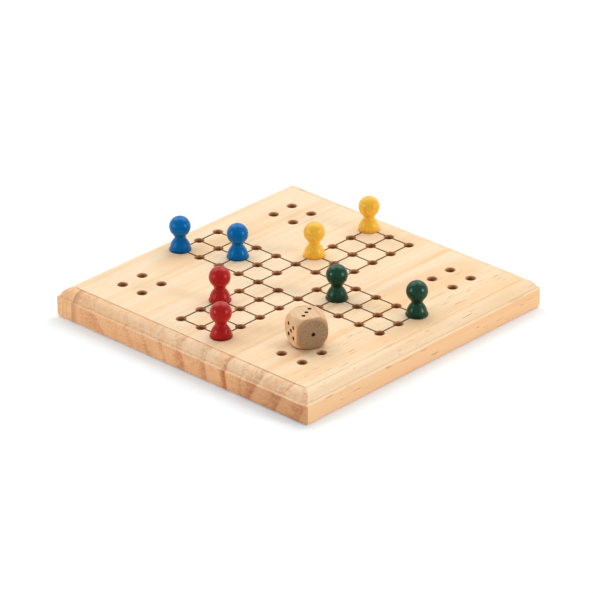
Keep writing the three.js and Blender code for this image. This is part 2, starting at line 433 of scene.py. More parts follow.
def finish_shader(tree, shader, finish, bump, strength, specular):
    """Feeds a Principled shader a finish: its colour, its roughness and where its bumps are high. The bumps
    are so many millimetres high."""
    inputs = {"Height": finish["Height"], "Distance": bump * MM, "Strength": strength}
    bumped = node(tree, "ShaderNodeBump", inputs).outputs[0]
    tree.links.new(finish["Color"], shader.inputs["Base Color"])
    tree.links.new(finish["Roughness"], shader.inputs["Roughness"])
    tree.links.new(bumped, shader.inputs["Normal"])
    shader.inputs["Specular IOR Level"].default_value = specular


# Pine

# Where growth rings close on the front end grain, at the ledge, in millimetres from the board's middle.
# Each has the width of the dark wood before it, how dark that wood is, and how far the ring leans out per
# unit of height.
RINGS = [
    (-57, 18, 0.3, -0.7),
    (-46, 6, 0.2, -0.65),
    (-35.4, 4, 0.3, -0.6),
    (-24, 4, 0.3, -0.5),
    (-11.9, 4, 0.35, -0.4),
    (1.1, 9, 0.5, -0.3),
    (16.5, 9, 0.55, -0.2),
    (30.1, 4, 1, -0.1),
    (40.6, 2.5, 0.4, 0),
    (50.5, 11, 0.65, 0.45),
    (67, 12, 0.5, 0.5),
    (82, 11, 0.5, 0.5),
]
EDGE_RINGS = [(-80.5, 1.5, 0.35, 0), (-78, 1.5, 0.3, 0), (-75.5, 1.5, 0.35, 0)]

# How far a ring takes to close, wanders along the plank and frays, in millimetres
RING_CLOSE = 1.4
RING_WANDER = 8
RING_RAGGEDNESS = 1.6

# How many times per metre each pattern of the pine repeats: across the planks, along them and upwards
WANDER_PATTERN = (14, 5, 14)
RAGGED_PATTERN = (160, 60, 160)
FIBRE_PATTERN = (1500, 26, 1500)
BROAD_PATTERN = (230, 5, 230)
WARM_PATTERN = (45, 9, 45)
FLECK_PATTERN = (1400, 95, 1400)
PORE_PATTERN = (2600, 300, 2600)
SPOT_PATTERN = (1300, 120, 1000)
STREAK_PATTERN = (120, 40, 330)
MOTTLE_PATTERN = (600, 80, 900)
ORANGE_PATTERN = (200, 60, 110)

# The spans over which the pine changes, in millimetres
SIDE_TOP = LEDGE_HEIGHT - LIP_BEVEL
RISER_BOTTOM = BOARD_THICKNESS - TOP_STEP_HEIGHT
SIDE_ENDS = (SIDE_TOP - 0.3, SIDE_TOP + 0.1)
STEP_STARTS = (RISER_BOTTOM, RISER_BOTTOM + 0.1)
END_GRAIN_STARTS = (TOP_HALF - 0.06, TOP_HALF - 0.01)
PAST_MITRE_ENDS = (-1.2, -0.7)
BACK_STARTS = (0, 1)
FLECKS_GROW = (35, 70)
# Over this span along X the painted shade on the end grain's side grows
SIDE_SHADE_GROWS = (10, 70)
MOULDING_COOLS = (-60, 10)
GLUE_STAIN_STARTS = (-0.4, 0)
GLUE_STAIN_FADES = (0, 5)

# Colours of single marks in the pine
WARM_WOOD = paint_value(251, 204, 148)
FLECK_BROWN = paint_value(204, 146, 86)
ORANGE_WOOD = paint_value(244, 182, 122)
# Brown of the painted shade on the upright face of the front step
STEP_SHADE_BROWN = paint_value(204, 138, 92)
GLUE_BROWN = paint_value(190, 122, 76)
# Tint of the painted shade that darkens the end grain's side along X
SIDE_SHADE_TINT = (0.8, 0.77, 0.74, 1)
PINE_BUMP = 0.06


def make_ring_place_group():
    """Where the wood lies among the growth rings, in millimetres: how far across the planks, with a slow
    wander that grows from the front to the back and a little raggedness, and how high above the ledge."""
    outputs = {"Across": "Float", "Height": "Float"}
    tree, given, result = new_group("ring_place", {"Place": "Vector"}, outputs)
    place = given["Place"]
    x, y, z = separate(tree, place)
    wander = noise(tree, stretched(tree, place, WANDER_PATTERN), 1, 1)
    wander = product(tree, calc(tree, "SUBTRACT", wander, 0.5), RING_WANDER)
    along = calc(tree, "DIVIDE", total(tree, y, BOARD_HALF * MM), 2 * BOARD_HALF * MM)
    ragged = noise(tree, stretched(tree, place, RAGGED_PATTERN), 1, 4, 0.6)
    ragged = product(tree, calc(tree, "SUBTRACT", ragged, 0.5), RING_RAGGEDNESS)
    across = total(tree, calc(tree, "DIVIDE", x, MM), product(tree, wander, along), ragged)
    height = calc(tree, "SUBTRACT", calc(tree, "DIVIDE", z, MM), LEDGE_HEIGHT)
    tree.links.new(across, result["Across"])
    tree.links.new(height, result["Height"])
    return tree


def make_growth_ring_group():
    """One year's late wood: it darkens over the ring's width up to its depth, and closes in a short step.
    The ring leans out with the height."""
    inputs = {
        "Across": "Float",
        "Height": "Float",
        "Ring": "Float",
        "Width": "Float",
        "Depth": "Float",
        "Lean": "Float",
    }
    tree, given, result = new_group("growth_ring", inputs, {"Late Wood": "Float"})
    upright = calc(tree, "SUBTRACT", given["Across"], product(tree, given["Height"], given["Lean"]))
    start = calc(tree, "SUBTRACT", given["Ring"], given["Width"])
    end = total(tree, given["Ring"], RING_CLOSE)
    rising = between(tree, upright, start, given["Ring"])
    closing = between(tree, upright, given["Ring"], end, given["Depth"], 0)
    tree.links.new(product(tree, rising, closing), result["Late Wood"])
    return tree


RING_PLACE_GROUP = make_ring_place_group()
GROWTH_RING_GROUP = make_growth_ring_group()


def growth_rings(tree, place, rings):
    """How dark the late wood of one plank is: the darkest of its rings at each place."""
    ring_place = placed_group(tree, RING_PLACE_GROUP, {"Place": place})
    late = 0
    for ring, width, depth, lean in rings:
        inputs = {
            "Across": ring_place["Across"],
            "Height": ring_place["Height"],
            "Ring": ring,
            "Width": width,
            "Depth": depth,
            "Lean": lean,
        }
        late = calc(tree, "MAXIMUM", late, placed_group(tree, GROWTH_RING_GROUP, inputs)["Late Wood"])
    return late


def end_grain_mask(tree, place, facing):
    """1 where the planks' ends are cut: outside the top face towards the front and back, and a little past
    the mitres, round the corners."""
    x, y, _ = [calc(tree, "ABSOLUTE", part) for part in separate(tree, place)]
    beyond = over(tree, y, END_GRAIN_STARTS)
    before_mitre = over(tree, calc(tree, "SUBTRACT", y, x), PAST_MITRE_ENDS)
    not_under = between(tree, separate(tree, facing)[2], -0.99, -0.9)
    return product(tree, beyond, before_mitre, not_under)


def long_grain_colour(tree, given, fine):
    """Fibres, broad grain and faint late wood, with warm patches and short brown flecks."""
    place = given["Place"]
    x = separate(tree, place)[0]
    broad = noise(tree, stretched(tree, place, BROAD_PATTERN), 1, 3, 0.55)
    share = total(
        tree,
        product(tree, given["Late Wood"], 0.4),
        between(tree, broad, 0.45, 0.75, 0, 0.55),
        between(tree, fine, 0.4, 0.8, -0.1, 0.3),
    )
    colour = blended(tree, share, given["Pale"], given["Deep"])
    warm = noise(tree, stretched(tree, place, WARM_PATTERN), 1, 2)
    colour = blended(tree, between(tree, warm, 0.5, 0.72, 0, 0.6), colour, WARM_WOOD)
    fleck = noise(tree, stretched(tree, place, FLECK_PATTERN), 1, 1)
    stronger = over(tree, x, FLECKS_GROW, 0.4, 1.5)
    fleck = product(tree, between(tree, fleck, 0.67, 0.76), given["Flecks"], stronger)
    return blended(tree, fleck, colour, FLECK_BROWN)


def end_grain_colour(tree, given, pores, side):
    """Strong growth rings with pores, spots and streaks. They are weaker on the moulding than on the side,
    and weakest on the moulding at the back. The moulding is warmer near the glue line."""
    place = given["Place"]
    x, y, _ = separate(tree, place)
    spots = noise(tree, stretched(tree, place, SPOT_PATTERN), 1, 1)
    streak = noise(tree, stretched(tree, place, STREAK_PATTERN), 1, 2)
    mottle = noise(tree, stretched(tree, place, MOTTLE_PATTERN), 1, 2, 0.6)
    share = total(
        tree,
        product(tree, given["Late Wood"], between(tree, side, 0, 1, 0.68, 0.95)),
        between(tree, pores, 0.4, 0.7, -0.14, 0.22),
        product(tree, side, between(tree, pores, 0.4, 0.65, -0.05, 0.25)),
        between(tree, streak, 0.4, 0.7, -0.08, 0.12),
        between(tree, spots, 0.62, 0.74, 0, 0.25),
        between(tree, mottle, 0.3, 0.7, -0.14, 0.14),
    )
    back_moulding = calc(tree, "SUBTRACT", over(tree, y, BACK_STARTS), side)
    share = product(tree, share, between(tree, back_moulding, 0, 1, 1, 0.4))
    colour = blended(tree, share, given["End Pale"], given["End Deep"])
    orange = noise(tree, stretched(tree, place, ORANGE_PATTERN), 1, 2)
    colour = blended(tree, between(tree, orange, 0.5, 0.7, 0, 0.4), colour, ORANGE_WOOD)
    warmer = calc(tree, "SUBTRACT", over(tree, x, MOULDING_COOLS, 0.3, 0), side)
    return blended(tree, warmer, colour, ORANGE_WOOD)


def marked_by_making(tree, given, colour, end_grain, side):
    """The marks on the board's colour: a deeper side, painted shade that darkens the end grain's side along
    X, painted shade in brown on the upright face of the front step, and a stain beside the glue line."""
    x, y, z = separate(tree, given["Place"])
    colour = blended(tree, side, colour, given["Side Tint"], "MULTIPLY")
    # Painted shade: the end grain's side darkens further along X
    side_shade = over(tree, x, SIDE_SHADE_GROWS)
    colour = blended(tree, product(tree, side, end_grain, side_shade), colour, SIDE_SHADE_TINT, "MULTIPLY")
    # Painted shade: a brown line on the upright face of the front step, strongest where it stands upright
    on_step = over(tree, z, STEP_STARTS)
    upright = between(tree, separate(tree, given["Facing"])[2], 0.6, 0.95, 0.45, 0)
    in_front = over(tree, y, BACK_STARTS, 1, 0)
    colour = blended(tree, product(tree, on_step, upright, end_grain, in_front), colour, STEP_SHADE_BROWN)
    past_glue = calc(tree, "SUBTRACT", x, GLUE_LINE_X * MM)
    stain = over(tree, past_glue, GLUE_STAIN_FADES, 0.5, 0)
    stain = product(tree, stain, over(tree, past_glue, GLUE_STAIN_STARTS), end_grain)
    return blended(tree, stain, colour, GLUE_BROWN)


def make_pine_group():
    """Sanded pine, which shows long fibres on the faces along the grain and rings where the grain ends."""
    inputs = {
        "Place": "Vector",
        "Facing": "Vector",
        "Late Wood": "Float",
        "Pale": "Color",
        "Deep": "Color",
        "End Pale": "Color",
        "End Deep": "Color",
        "Side Tint": "Color",
        "Flecks": "Float",
    }
    tree, given, result = new_group("sanded_pine", inputs, FINISH_OUTPUTS)
    place = given["Place"]
    z = separate(tree, place)[2]
    end_grain = end_grain_mask(tree, place, given["Facing"])
    side = over(tree, z, SIDE_ENDS, 1, 0)
    fine = noise(tree, stretched(tree, place, FIBRE_PATTERN), 1, 3, 0.6)
    pores = noise(tree, stretched(tree, place, PORE_PATTERN), 1, 2, 0.7)
    long_colour = long_grain_colour(tree, given, fine)
    end_colour = end_grain_colour(tree, given, pores, side)
    colour = blended(tree, end_grain, long_colour, end_colour)
    colour = marked_by_making(tree, given, colour, end_grain, side)
    roughness = total(tree, between(tree, fine, 0.3, 0.7, 0.5, 0.62), product(tree, end_grain, 0.12))
    height = total(tree, fine, product(tree, pores, end_grain, 0.4))
    put_out(tree, result, colour, roughness, height)
    return tree


PINE_GROUP = make_pine_group()


def make_pine(name, rings, pale, deep, end_pale, end_deep, side_tint, flecks):
    """One plank's pine: its own rings and its own colours."""
    material, tree, shader, place = new_material(name, pale)
    facing = tree.nodes.new("ShaderNodeTexCoord").outputs["Normal"]
    pine = placed_group(tree, PINE_GROUP, {
        "Place": place,
        "Facing": facing,
        "Late Wood": growth_rings(tree, place, rings),
        "Pale": pale,
        "Deep": deep,
        "End Pale": end_pale,
        "End Deep": end_deep,
        "Side Tint": side_tint,
        "Flecks": flecks,
    })
    finish_shader(tree, shader, pine, bump=PINE_BUMP, strength=0.5, specular=0.3)
    return material


PINE_MAIN = make_pine(
    "pine_main_plank",
    RINGS,
    pale=paint_value(255, 229, 193),
    deep=paint_value(252, 206, 150),
    end_pale=paint_value(255, 220, 180),
    end_deep=paint_value(198, 118, 68),
    side_tint=(0.97, 0.8, 0.65, 1),
    flecks=0.6,
)
PINE_EDGE = make_pine(
    "pine_edge_plank",
    EDGE_RINGS,
    pale=paint_value(255, 229, 192),
    deep=paint_value(249, 210, 160),
    end_pale=paint_value(255, 216, 172),
    end_deep=paint_value(222, 166, 118),
    side_tint=(1, 0.9, 0.8, 1),
    flecks=0.4,
)


# Scorched wood, with painted shade that darkens it with depth

# How many times per metre the patches of the scorch repeat
SCORCH_PATTERN = (700, 700, 500)


def make_scorch_shade_group():
    """Wood browned by a tool, with painted shade: it goes from one colour at the board's face to a darker
    one at some depth, in short uneven patches."""
    inputs = {"Place": "Vector", "Face Color": "Color", "Shaded Deep Color": "Color", "Depth": "Float"}
    tree, given, result = new_group("scorched_wood_depth_shade", inputs, FINISH_OUTPUTS)
    place = given["Place"]
    patches = noise(tree, stretched(tree, place, SCORCH_PATTERN), 1, 3, 0.6)
    z = separate(tree, place)[2]
    board_middle = BOARD_THICKNESS / 2 * MM
    from_middle = calc(tree, "ABSOLUTE", calc(tree, "SUBTRACT", z, board_middle))
    below = calc(tree, "SUBTRACT", board_middle, from_middle)
    patchy = between(tree, patches, 0.3, 0.7, -0.2, 0.2)
    # Painted shade: the colour darkens with depth below the board's face
    share = total(tree, between(tree, below, 0, given["Depth"]), patchy)
    colour = blended(tree, share, given["Face Color"], given["Shaded Deep Color"])
    roughness = between(tree, patches, 0.3, 0.7, 0.65, 0.85)
    put_out(tree, result, colour, roughness, patches)
    return tree


SCORCH_SHADE_GROUP = make_scorch_shade_group()


def make_scorched_shaded(name, face_colour, shaded_deep_colour, depth):
    """One tool's scorch: its face colour, its colour in the painted depth shade, and that depth in
    millimetres.
    """
    material, tree, shader, place = new_material(name, face_colour)
    scorch = placed_group(tree, SCORCH_SHADE_GROUP, {
        "Place": place,
        "Face Color": face_colour,
        "Shaded Deep Color": shaded_deep_colour,
        "Depth": depth * MM,
    })
    finish_shader(tree, shader, scorch, bump=FINE_BUMP, strength=0.6, specular=0.2)
    return material


DRILLED_WALL = make_scorched_shaded(
    "drilled_hole_wall", paint_value(228, 176, 128), paint_value(166, 112, 70), depth=2.5)
ENGRAVED_LINE = make_scorched_shaded(
    "engraved_line", paint_value(132, 88, 42), paint_value(100, 64, 28), depth=0.25)


# Painted wood

# How many times per metre each pattern of the painted wood repeats: upwards, or in each direction
TURNING_PATTERN = 2400
PAINTED_GRAIN_PATTERN = (1400, 1400, 120)
BRUSHED_PATTERN = (160, 160, 160)

# The heights at which the painted contact shade at the foot starts, above the peg, and at which it fades,
# in millimetres
PAWN_FOOT_SHADE_STARTS = (BOARD_THICKNESS - 0.2, BOARD_THICKNESS)
PAWN_FOOT_SHADE_FADES = (BOARD_THICKNESS + FOOT_HEIGHT / 2, BOARD_THICKNESS + 1.2 * FOOT_HEIGHT)


def make_paint_group():
    """Satin paint on turned wood: faint turning rings, the wood's upright grain showing through, small thin
    patches, and painted contact shade that darkens the foot just above the board."""
    inputs = {"Place": "Vector", "Paint": "Color", "Thin Paint": "Color", "Foot Shade Tint": "Color"}
    tree, given, result = new_group("satin_paint", inputs, FINISH_OUTPUTS)
    place = given["Place"]
    z = separate(tree, place)[2]
    turning = noise(tree, node(tree, "ShaderNodeCombineXYZ", {2: z}).outputs[0], TURNING_PATTERN, 2, 0.6)
    grain = noise(tree, stretched(tree, place, PAINTED_GRAIN_PATTERN), 1, 3, 0.6)
    brushed = noise(tree, stretched(tree, place, BRUSHED_PATTERN), 1, 2)
    grain_share = between(tree, grain, 0.35, 0.7, 0, 0.42)
    brushed_share = between(tree, brushed, 0.4, 0.7, 0, 0.25)
    thin_share = total(tree, grain_share, brushed_share)
    colour = blended(tree, thin_share, given["Paint"], given["Thin Paint"])
    # Painted contact shade: the paint darkens in a band at the foot, where the pawn meets the board
    foot_shade = product(tree, over(tree, z, PAWN_FOOT_SHADE_FADES, 0.9, 0), over(tree, z, PAWN_FOOT_SHADE_STARTS))
    colour = blended(tree, foot_shade, colour, given["Foot Shade Tint"], "MULTIPLY")
    roughness = between(tree, brushed, 0.3, 0.7, 0.24, 0.34)
    height = total(tree, product(tree, turning, 0.5), product(tree, grain, 0.8))
    put_out(tree, result, colour, roughness, height)
    return tree


PAINT_GROUP = make_paint_group()
# Tints of the painted contact shade at the pawns' feet
DARK_FOOT_SHADE = (0.22, 0.22, 0.22, 1)
OCHRE_FOOT_SHADE = (0.7, 0.5, 0.3, 1)


def make_paint(colour_name, paint, thin_paint, sheen_tint, foot_shade_tint):
    """One of the four paints, with a sheen of its own hue."""
    material, tree, shader, place = new_material(f"paint_{colour_name}", paint)
    painted = placed_group(tree, PAINT_GROUP, {
        "Place": place,
        "Paint": paint,
        "Thin Paint": thin_paint,
        "Foot Shade Tint": foot_shade_tint,
    })
    finish_shader(tree, shader, painted, bump=FINE_BUMP, strength=0.35, specular=0.55)
    shader.inputs["Specular Tint"].default_value = sheen_tint
    return material


# Each paint's own colour, its thin patches, its sheen, and the tint of the painted contact shade at its
# foot
PAINT_COLOURS = {
    "blue": (paint_value(0, 108, 178), paint_value(0, 76, 134), paint_value(90, 180, 250), DARK_FOOT_SHADE),
    "red": (paint_value(182, 26, 28), paint_value(130, 15, 20), paint_value(255, 130, 120), DARK_FOOT_SHADE),
    "yellow": (paint_value(255, 205, 74), paint_value(246, 160, 44), paint_value(255, 226, 150), OCHRE_FOOT_SHADE),
    "green": (paint_value(12, 48, 30), paint_value(5, 30, 19), paint_value(150, 215, 180), DARK_FOOT_SHADE),
}
PAINTS = {name: make_paint(name, *colours) for name, colours in PAINT_COLOURS.items()}


# Die

DIE_HALF = DIE_EDGE / 2

# How many times per metre each pattern of the die repeats: along its own X and across it
DIE_FIBRE_PATTERN = (40, 1300, 1300)
DIE_STREAK_PATTERN = (12, 330, 330)
DIE_PORE_PATTERN = (600, 1900, 1900)

# How often the rays of the sawn ends repeat, round the grain and per metre outwards, and the burnt patches
RAYS_PER_RADIAN = 9
RAY_PATTERN = 300
BURN_PATTERN = 1500

# The spans over which the die changes, in millimetres from its middle
ROUNDING_BROWNS = (DIE_HALF - 2.2, DIE_HALF - 0.5)
SAWN_SKIN_STARTS = (DIE_HALF - 0.09, DIE_HALF - 0.03)
# Over this span the painted contact shade at the die's foot fades upwards
DIE_FOOT_SHADE_FADES = (0.1 - DIE_HALF, 1.8 - DIE_HALF)

DIE_PALE = paint_value(236, 198, 155)
DIE_DEEP = paint_value(212, 163, 116)
DIE_ROUNDING_BROWN = paint_value(176, 126, 84)
DIE_FOOT_SHADE = paint_value(104, 66, 40)
SAWN_PALE = paint_value(180, 148, 116)
SAWN_DEEP = paint_value(142, 112, 82)
PIP_BLACK = paint_value(44, 22, 10)
PIP_BROWN = paint_value(84, 46, 22)


def make_die_wood():
    """Bare hardwood with fine grain along the die's own X, browner where the rounding cuts across the
    grain, darker with painted contact shade towards the foot, and a grey sawn skin with faint rays on the
    flats of its end grain."""
    material, tree, shader, place = new_material("die_wood", paint_value(232, 194, 150))
    middle = (DIE_PLACE[0] * MM, DIE_PLACE[1] * MM, (BOARD_THICKNESS + DIE_HALF) * MM)
    settings = {"Vector": place, "Location": middle, "Rotation": (0, 0, DIE_TURN)}
    own = node(tree, "ShaderNodeMapping", settings, vector_type="TEXTURE").outputs[0]
    x, y, z = separate(tree, own)
    fibres = noise(tree, stretched(tree, own, DIE_FIBRE_PATTERN), 1, 3, 0.6)
    streaks = noise(tree, stretched(tree, own, DIE_STREAK_PATTERN), 1, 2)
    fine_share = between(tree, fibres, 0.35, 0.75, 0, 0.4)
    broad_share = between(tree, streaks, 0.4, 0.7, 0, 0.45)
    side = blended(tree, total(tree, fine_share, broad_share), DIE_PALE, DIE_DEEP)
    turn = product(tree, calc(tree, "ARCTAN2", z, y), RAYS_PER_RADIAN)
    from_axis = calc(tree, "SQRT", total(tree, calc(tree, "POWER", y, 2), calc(tree, "POWER", z, 2)))
    outwards = product(tree, from_axis, RAY_PATTERN)
    spokes = node(tree, "ShaderNodeCombineXYZ", {0: turn, 1: outwards}).outputs[0]
    rays = noise(tree, spokes, 1, 2, 0.6)
    pores = noise(tree, stretched(tree, own, DIE_PORE_PATTERN), 1, 3, 0.7)
    pore_share = between(tree, pores, 0.35, 0.7, 0, 0.7)
    ray_share = between(tree, rays, 0.35, 0.65, 0, 0.5)
    end = blended(tree, total(tree, pore_share, ray_share), SAWN_PALE, SAWN_DEEP)
    depth = calc(tree, "ABSOLUTE", x)
    side = blended(tree, over(tree, depth, ROUNDING_BROWNS, 0, 0.85), side, DIE_ROUNDING_BROWN)
    # Painted contact shade: the die darkens towards its foot on the board
    side = blended(tree, over(tree, z, DIE_FOOT_SHADE_FADES, 0.9, 0), side, DIE_FOOT_SHADE)
    flat = over(tree, depth, SAWN_SKIN_STARTS)
    finish = {
        "Color": blended(tree, flat, side, end),
        "Roughness": total(tree, between(tree, fibres, 0.3, 0.7, 0.48, 0.6), product(tree, flat, 0.15)),
        "Height": total(tree, fibres, pores),
    }
    finish_shader(tree, shader, finish, bump=FINE_BUMP, strength=0.4, specular=0.35)
    return material


def make_pip_colour():
    """Burnt pips: a near black brown, a little lighter in patches."""
    material, tree, shader, place = new_material("burnt_pip", paint_value(40, 24, 14))
    patches = noise(tree, place, BURN_PATTERN, 3, 0.6)
    finish = {
        "Color": blended(tree, patches, PIP_BLACK, PIP_BROWN),
        "Roughness": between(tree, patches, 0.3, 0.7, 0.6, 0.8),
        "Height": patches,
    }
    finish_shader(tree, shader, finish, bump=FINE_BUMP, strength=0.5, specular=0.1)
    return material


DIE_WOOD = make_die_wood()
BURNT_PIP = make_pip_colour()


# Board

def moulding_profile():
    """The board's section, from the rim of its underside to the rim of its top: straight faces with small
    fillets, and a quarter of an ellipse for the ovolo."""
    foot = np.array([BOARD_HALF, 0])
    lip_low = np.array([BOARD_HALF, LEDGE_HEIGHT - LIP_BEVEL])
    lip_high = np.array([BOARD_HALF - LIP_BEVEL, LEDGE_HEIGHT])
    angles = np.linspace(0, math.pi / 2, OVOLO_STEPS + 1)
    ovolo_middle = np.array([TOP_HALF, LEDGE_HEIGHT])
    ovolo = ovolo_middle + np.stack([OVOLO_WIDTH * np.cos(angles), OVOLO_HEIGHT * np.sin(angles)], axis=1)
    rim = np.array([TOP_HALF, BOARD_THICKNESS])
    return np.concatenate([
        filleted([0, 0], foot, lip_low, BOTTOM_RADIUS, 2 * FILLET_STEPS),
        filleted(foot, lip_low, lip_high, LIP_RADIUS),
        filleted(lip_low, lip_high, [0, LEDGE_HEIGHT], LIP_RADIUS),
        ovolo,
        filleted(ovolo[-1], rim, [0, BOARD_THICKNESS], STEP_RADIUS),
    ])


def board_blank():
    """The moulded board before it is drilled: at each point of the section, the outline is a square whose
    half side is the section's distance out, with corners rounded by the side's own corner radius less the
    distance in from the side, and by no less than the mitre's radius."""
    profile = moulding_profile()
    half = profile[:, 0][:, None]
    corner = np.maximum(MITRE_RADIUS, SIDE_CORNER_RADIUS - (BOARD_HALF - half))
    quarters = np.repeat(np.arange(4), CORNER_STEPS + 1)
    steps = np.tile(np.linspace(0, math.pi / 2, CORNER_STEPS + 1), 4)
    angles = steps + quarters * math.pi / 2
    side_x = np.array([1, -1, -1, 1])[quarters]
    side_y = np.array([1, 1, -1, -1])[quarters]
    x = side_x * (half - corner) + corner * np.cos(angles)
    y = side_y * (half - corner) + corner * np.sin(angles)
    z = np.broadcast_to(profile[:, 1][:, None], x.shape)
    points = np.stack([x, y, z], axis=-1).reshape(-1, 3)
    faces = ring_faces(len(profile), len(angles), closed_start=True, closed_end=True)
    return new_piece("board_blank", points, faces, [PINE_MAIN])


def cross_counts(reach, keep_middle):
    """The holes of a cross-shaped field, counted from its middle."""
    counts = []
    for i in range(-reach, reach + 1):
        for j in range(-reach, reach + 1):
            on_cross = min(abs(i), abs(j)) <= ARM_REACH
            if on_cross and (keep_middle or i or j):
                counts.append((i, j))
    return counts


def home_counts():
    """Four blocks of four holes, one in each corner, counted the same way."""
    near = HOME_CENTRE - HOME_STEP
    far = HOME_CENTRE + HOME_STEP
    steps = [-far, -near, near, far]
    return [(x, y) for x in steps for y in steps]


def ludo_place(counts):
    """Where a hole of the ludo field lies, in millimetres."""
    return FIELD_MIDDLE + HOLE_PITCH * np.array(counts)


def hole_profile():
    """What one drilling takes out, as radius and height above the hole's mouth: a flat floor with a rounded
    corner, a straight wall, and a rim that flares out by a quarter circle."""
    floor = [0, -HOLE_DEPTH]
    corner = filleted(floor, [HOLE_RADIUS, -HOLE_DEPTH], [HOLE_RADIUS, 0], HOLE_FLOOR_RADIUS)
    rim = arc([HOLE_RADIUS + HOLE_RIM, -HOLE_RIM], HOLE_RIM, math.pi, math.pi / 2, RIM_STEPS)
    rim[-1, 1] = 0
    flare = HOLE_RADIUS + HOLE_RIM
    return np.concatenate([[floor], corner, rim, [[flare, OVERRUN], [0, OVERRUN]]])


def drills(places, upside_down):
    """Every hole of one face as one tool."""
    profile = hole_profile()
    if upside_down:
        profile = profile[::-1] * np.array([1, -1])
    height = 0 if upside_down else BOARD_THICKNESS
    profile = profile + np.array([0, height])
    return joined([turned("drill", profile, HOLE_SIDES, place, [DRILLED_WALL]) for place in places])


def track_runs():
    """The straight runs of the track in one direction: the row, and the holes at its ends."""
    runs = [(0, -LUDO_REACH, -ARM_REACH), (0, ARM_REACH, LUDO_REACH)]
    for row in range(-LUDO_REACH, LUDO_REACH + 1):
        if abs(row) == ARM_REACH:
            runs.append((row, -LUDO_REACH, LUDO_REACH))
        if abs(row) > ARM_REACH:
            runs.append((row, -ARM_REACH, ARM_REACH))
    return runs


def graver(across_axis):
    """Every engraved run in one direction as one tool: half an ellipse below the top face, drawn out along
    the run. The axis is the one that the runs are spaced along."""
    angles = np.linspace(0, -math.pi, LINE_STEPS + 1)
    across = np.concatenate([LINE_WIDTH / 2 * np.cos(angles), [-LINE_WIDTH / 2, LINE_WIDTH / 2]])
    height = BOARD_THICKNESS + np.concatenate([LINE_DEPTH * np.sin(angles), [OVERRUN, OVERRUN]])
    bars = []
    for row, start, end in track_runs():
        row_place = ludo_place((row, row))[across_axis]
        ends = [ludo_place((count, count))[1 - across_axis] for count in (start, end)]
        points = np.zeros((2, len(across), 3))
        points[:, :, across_axis] = row_place + across
        points[:, :, 1 - across_axis] = np.array(ends)[:, None]
        points[:, :, 2] = height
        faces = ring_faces(2, len(across), closed_start=True, closed_end=True)
        bar = new_piece("graver", points.reshape(-1, 3), faces, [ENGRAVED_LINE])
        bars.append(bar)
    tool = joined(bars)
    work = bmesh.new()
    work.from_mesh(tool.data)
    bmesh.ops.recalc_face_normals(work, faces=work.faces[:])
    work.to_mesh(tool.data)
    work.free()
    return tool


def make_board():
    """Two planks, the wider one with every hole and line."""
    edge = board_blank()
    main = split_off(edge, "board_main.001", (GLUE_LINE_X, 0, 0), (1, 0, 0))
    edge.name = "board_edge"
    edge.data.materials[0] = PINE_EDGE
    ludo_holes = [ludo_place(counts) for counts in cross_counts(LUDO_REACH, False) + home_counts()]
    solitaire_holes = [SOLITAIRE_PITCH * np.array(counts) for counts in cross_counts(SOLITAIRE_REACH, True)]
    cut(main, graver(0))
    cut(main, graver(1))
    cut(main, drills(ludo_holes, upside_down=False))
    cut(main, drills(solitaire_holes, upside_down=True))
    planes = [(0, BOARD_HALF), (0, -BOARD_HALF), (0, GLUE_LINE_X), (1, BOARD_HALF), (1, -BOARD_HALF)]
    planes += [(2, 0), (2, BOARD_THICKNESS)]
    finished(main, "board", ["board_main_plank"], planes)
    finished(edge, "board", ["board_edge_plank"], planes)


# Pawns

def pawn_profile():
    """The turned outline as radius and height above the board: a peg, a thin foot, a bell that narrows to
    the neck along a cubic curve, another into the cheek, and a circle for the head."""
    head_middle = PAWN_TOP - HEAD_RADIUS
    bell_height = NECK_HEIGHT - FOOT_HEIGHT
    blend_radius = HEAD_RADIUS * math.sin(HEAD_BLEND_ANGLE)
    blend_height = head_middle - HEAD_RADIUS * math.cos(HEAD_BLEND_ANGLE)
    blend_length = blend_height - NECK_HEIGHT
    shoulder = BELL_SHOULDER_SHARE * bell_height
    waist = BELL_WAIST_SHARE * bell_height
    throat = CHEEK_THROAT_SHARE * blend_length
    cheek = CHEEK_PULL_SHARE * blend_length
    bell = bezier(
        [BELL_RADIUS, FOOT_HEIGHT],
        [BELL_RADIUS, FOOT_HEIGHT + shoulder],
        [NECK_RADIUS, NECK_HEIGHT - waist],
        [NECK_RADIUS, NECK_HEIGHT],
        BELL_STEPS,
    )
    blend = bezier(
        [NECK_RADIUS, NECK_HEIGHT],
        [NECK_RADIUS, NECK_HEIGHT + throat],
        [
            blend_radius - cheek * math.cos(HEAD_BLEND_ANGLE),
            blend_height - cheek * math.sin(HEAD_BLEND_ANGLE),
        ],
        [blend_radius, blend_height],
        CHEEK_STEPS,
    )
    head = arc([0, head_middle], HEAD_RADIUS, HEAD_BLEND_ANGLE - math.pi / 2, math.pi / 2, HEAD_STEPS)
    head[-1, 0] = 0
    foot_low = [FOOT_RADIUS, 0]
    foot_high = [FOOT_RADIUS, FOOT_HEIGHT]
    return np.concatenate([
        [[0, PEG_END]],
        filleted([0, PEG_END], [PEG_RADIUS, PEG_END], [PEG_RADIUS, 0], PEG_BEVEL),
        [[PEG_RADIUS, 0]],
        filleted([0, 0], foot_low, foot_high, FOOT_ROUND),
        filleted(foot_low, foot_high, [0, FOOT_HEIGHT], FOOT_ROUND),
        bell,
        blend[1:],
        head[1:],
    ])


def make_pawns():
    """One turned pawn, in its own paint, in the place of each pawn of the frame."""
    profile = pawn_profile() + np.array([0, BOARD_THICKNESS])
    for pawn_node in PAWN_NODES:
        colour, number = pawn_node.split("_")[1:]
        place = standing_place(pawn_node)
        piece = turned(f"pawn_{colour}_{number}_painted", profile, PAWN_SIDES, place, [PAINTS[colour]])
        finished(piece, pawn_node, [pawn_node])


